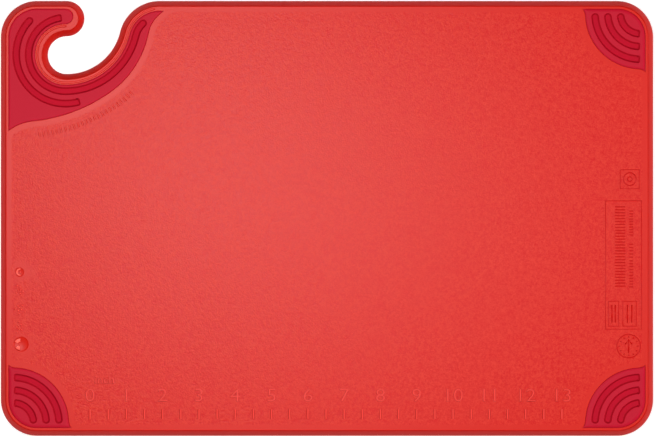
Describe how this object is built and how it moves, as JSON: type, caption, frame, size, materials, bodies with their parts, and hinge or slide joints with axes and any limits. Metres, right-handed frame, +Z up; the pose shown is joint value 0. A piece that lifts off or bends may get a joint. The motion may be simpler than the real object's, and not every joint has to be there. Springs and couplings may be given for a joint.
{
  "type": "hooked cutting board",
  "caption": "Rectangular plastic cutting board with a hook cut into one corner, soft inlaid corner grips on both faces and a moulded inch ruler along the front edge.",
  "frame": {"origin": "centre of the board's bounding box on the surface that it lies on, which its lower grip pads touch", "axes": "+X to the right along the ruler and the long side, +Y to the rear edge that holds the hook, +Z up out of the upper face"},
  "size_m": [0.4572, 0.3048, 0.0127],
  "materials": {
    "polypropylene_red": "fine moulded grain on the field, smoother on the edge and round the grips",
    "elastomer_crimson": "satin soft-touch elastomer"
  },
  "bodies": {
    "root": {"board_body": "polypropylene_red", "hook_grip": "elastomer_crimson", "rear_right_grip": "elastomer_crimson", "front_left_grip": "elastomer_crimson", "front_right_grip": "elastomer_crimson"}
  },
  "joints": []
}
